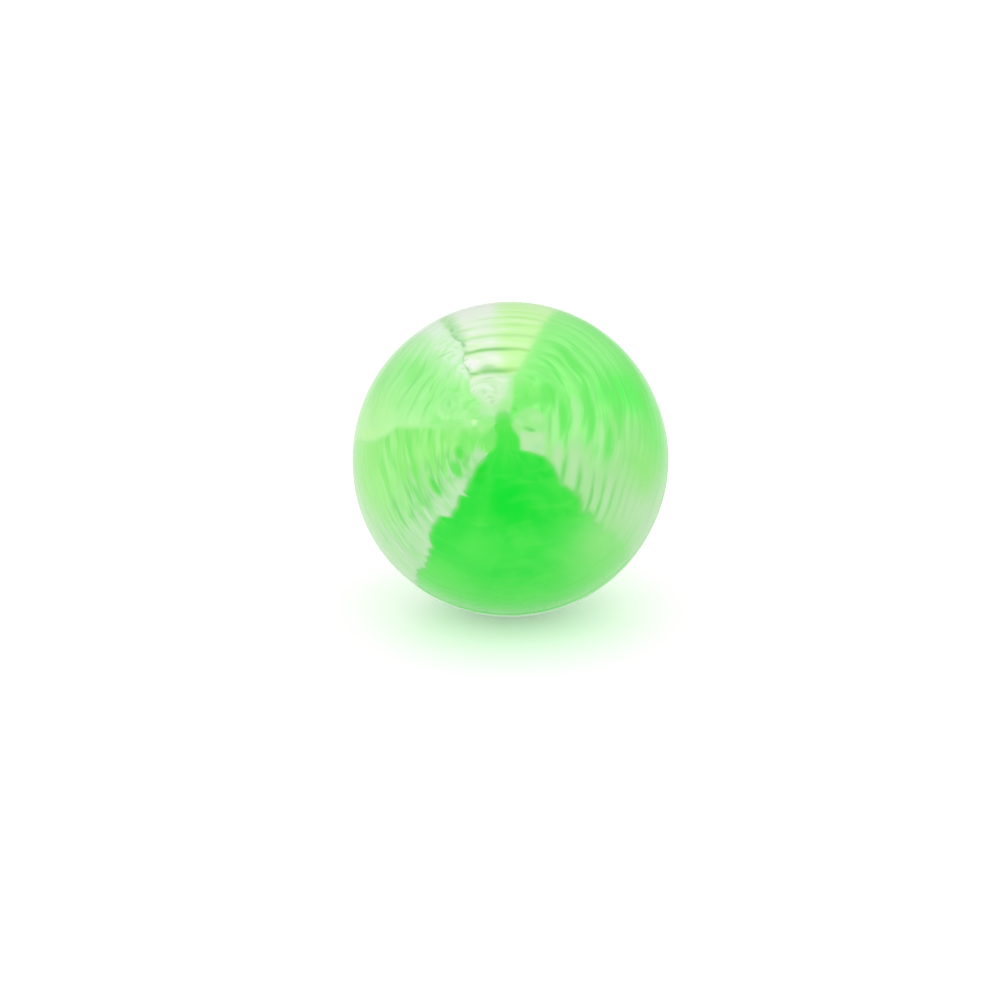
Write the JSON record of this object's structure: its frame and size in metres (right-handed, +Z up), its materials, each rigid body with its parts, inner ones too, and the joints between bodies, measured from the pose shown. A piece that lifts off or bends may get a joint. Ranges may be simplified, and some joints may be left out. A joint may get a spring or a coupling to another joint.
{
  "type": "bouncy ball",
  "caption": "Solid moulded rubber bouncy ball, marbled in greens and white: coloured strands side by side round one swirl axis, ringed by thin seams.",
  "frame": {"origin": "centre of the ball", "axes": "+Z up, -Y towards the viewer; the swirl axis leans 30 degrees up from -Y and 3 degrees towards -X"},
  "size_m": [0.032, 0.032, 0.032],
  "materials": {
    "deep_green_rubber": "glossy moulded rubber, saturated green",
    "milky_green_rubber": "glossy moulded rubber, greyish milky green",
    "mid_green_rubber": "glossy moulded rubber, mid green seam",
    "streaky_green_rubber": "glossy moulded rubber, streaked green",
    "milky_seam_rubber": "glossy moulded rubber, milky seam",
    "vivid_green_rubber": "glossy moulded rubber, vivid green",
    "light_green_seam_rubber": "glossy moulded rubber, light green seam",
    "lime_white_rubber": "glossy moulded rubber, yellowish lime white",
    "leaf_green_seam_rubber": "glossy moulded rubber, leaf green seam",
    "white_rubber": "glossy moulded rubber, greenish white",
    "dark_green_seam_rubber": "glossy moulded rubber, darker green seam",
    "vein_white_rubber": "glossy moulded rubber, near white",
    "mint_rubber": "glossy moulded rubber, pale mint green",
    "pale_mint_seam_rubber": "glossy moulded rubber, paler mint seam",
    "pale_lime_rubber": "glossy moulded rubber, pale lime",
    "lime_green_rubber": "glossy moulded rubber, lime green",
    "pale_lime_seam_rubber": "glossy moulded rubber, paler lime seam",
    "comb_white_rubber": "glossy moulded rubber, greyish white"
  },
  "bodies": {
    "root": {"deep_green_strand": "deep_green_rubber", "milky_strand": "milky_green_rubber", "milky_seams": "mid_green_rubber", "streaky_strand": "streaky_green_rubber", "streaky_seams": "milky_seam_rubber", "vivid_green_strand": "vivid_green_rubber", "vivid_green_seams": "light_green_seam_rubber", "lime_white_strand": "lime_white_rubber", "lime_white_seams": "leaf_green_seam_rubber", "white_strand": "white_rubber", "white_seams": "dark_green_seam_rubber", "white_vein": "vein_white_rubber", "mint_strand": "mint_rubber", "mint_seams": "pale_mint_seam_rubber", "pale_rib": "pale_lime_rubber", "lime_green_strand": "lime_green_rubber", "lime_green_seams": "pale_lime_seam_rubber", "comb_vein": "comb_white_rubber"}
  },
  "joints": []
}
